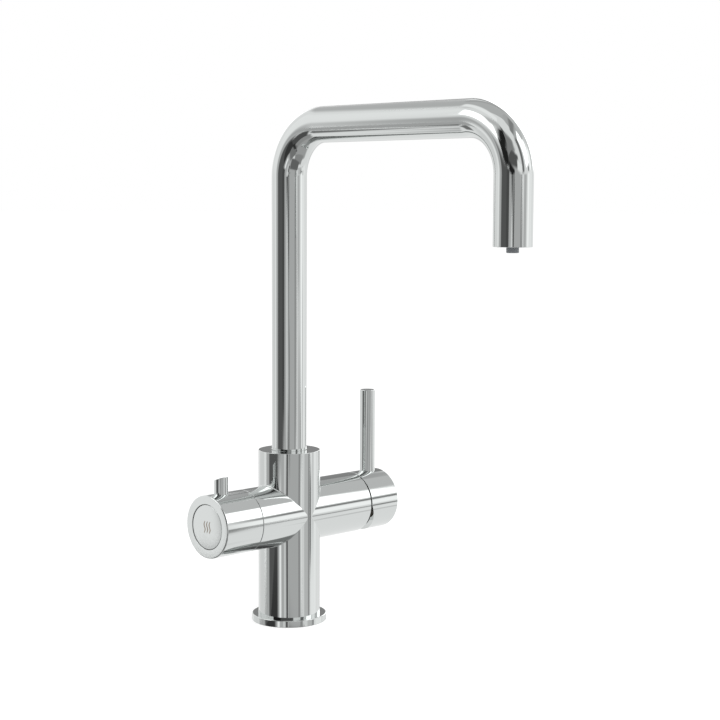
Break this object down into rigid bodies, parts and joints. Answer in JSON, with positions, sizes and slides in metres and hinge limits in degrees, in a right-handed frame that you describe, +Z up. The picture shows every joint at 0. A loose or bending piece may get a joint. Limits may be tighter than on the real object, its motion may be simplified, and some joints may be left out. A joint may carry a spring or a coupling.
{
  "type": "boiling water tap",
  "caption": "Deck-mounted kitchen tap with a square-cornered swivel spout, a side mixer lever and a boiling water knob with a push-in safety button.",
  "frame": {"origin": "centre of the base's underside, on the worktop", "axes": "+Z up along the column, the spout points to -Y towards the user, +X towards the mixer lever, -X towards the boiling water knob"},
  "size_m": [0.1681, 0.2461, 0.3693],
  "materials": {
    "polished_chrome": "polished chrome plate",
    "machined_brass": "machined",
    "stainless_steel": "bright drawn",
    "seal_rubber": "moulded",
    "white_plastic": "moulded",
    "grey_plastic": "moulded",
    "black_plastic": "turned, graphite-filled",
    "ceramic_disc": "lapped"
  },
  "bodies": {
    "body": {"base_flange": "polished_chrome", "base_gasket": "seal_rubber", "body_casting": "polished_chrome", "spout_grub_screw": "stainless_steel", "boiling_tube_seal": "seal_rubber", "port_seals": "seal_rubber", "cartridge_base": "grey_plastic", "cartridge_housing": "grey_plastic", "cartridge_nut": "machined_brass", "mixer_fixed_disc": "ceramic_disc", "valve_body": "machined_brass", "valve_seat_seal": "seal_rubber", "boiling_fixed_disc": "ceramic_disc", "stop_collar": "stainless_steel"},
    "spout": {"spout_tube": "polished_chrome", "spout_tail": "machined_brass", "upper_swivel_bush": "black_plastic", "lower_swivel_bush": "black_plastic", "spout_o_rings": "seal_rubber", "boiling_tube": "white_plastic", "outlet_insert": "grey_plastic", "outlet_o_ring": "seal_rubber", "aerator_screen": "stainless_steel", "outlet_nozzle": "grey_plastic"},
    "mixer_core": {"cartridge_rotor": "white_plastic", "stem_pin": "stainless_steel"},
    "mixer_handle": {"mixer_stem": "stainless_steel", "mixer_cap": "polished_chrome", "mixer_lever": "polished_chrome", "lever_grub_screw": "stainless_steel"},
    "disc_set": {"mixer_moving_disc": "ceramic_disc", "disc_carrier": "white_plastic"},
    "knob": {"boiling_moving_disc": "ceramic_disc", "boiling_spindle": "machined_brass", "spindle_o_rings": "seal_rubber", "spindle_clip": "stainless_steel", "boiling_knob": "polished_chrome", "knob_screw": "stainless_steel", "grip_pin": "polished_chrome", "button_spring": "stainless_steel"},
    "button": {"safety_button": "polished_chrome", "button_clips": "stainless_steel"}
  },
  "joints": [
    {"name": "spout_swivel", "type": "hinge", "parent": "body", "child": "spout", "pos_m": [0, 0, 0.11], "axis": [0, 0, 1], "range_deg": [-75, 75]},
    {"name": "mixer_turn", "type": "hinge", "parent": "body", "child": "mixer_core", "pos_m": [0.06, 0, 0.0785], "axis": [1, 0, 0], "range_deg": [-45, 45]},
    {"name": "mixer_tilt", "type": "hinge", "parent": "mixer_core", "child": "mixer_handle", "pos_m": [0.06, 0, 0.0785], "axis": [0, 1, 0], "range_deg": [0, 20]},
    {"name": "disc_slide", "type": "slide", "parent": "mixer_core", "child": "disc_set", "axis": [0, 0, 1], "range_m": [0, 0.0048]},
    {"name": "boiling_turn", "type": "hinge", "parent": "body", "child": "knob", "pos_m": [-0.06, 0, 0.0785], "axis": [1, 0, 0], "range_deg": [0, 90]},
    {"name": "button_push", "type": "slide", "parent": "knob", "child": "button", "axis": [1, 0, 0], "range_m": [0, 0.0025], "stiffness_N_per_m": 1000, "springref_m": -0.003, "deforming": ["button_spring"]}
  ],
  "couplings": [
    {"joint": "disc_slide", "follows": "mixer_tilt", "m_per_rad": 0.01372}
  ]
}
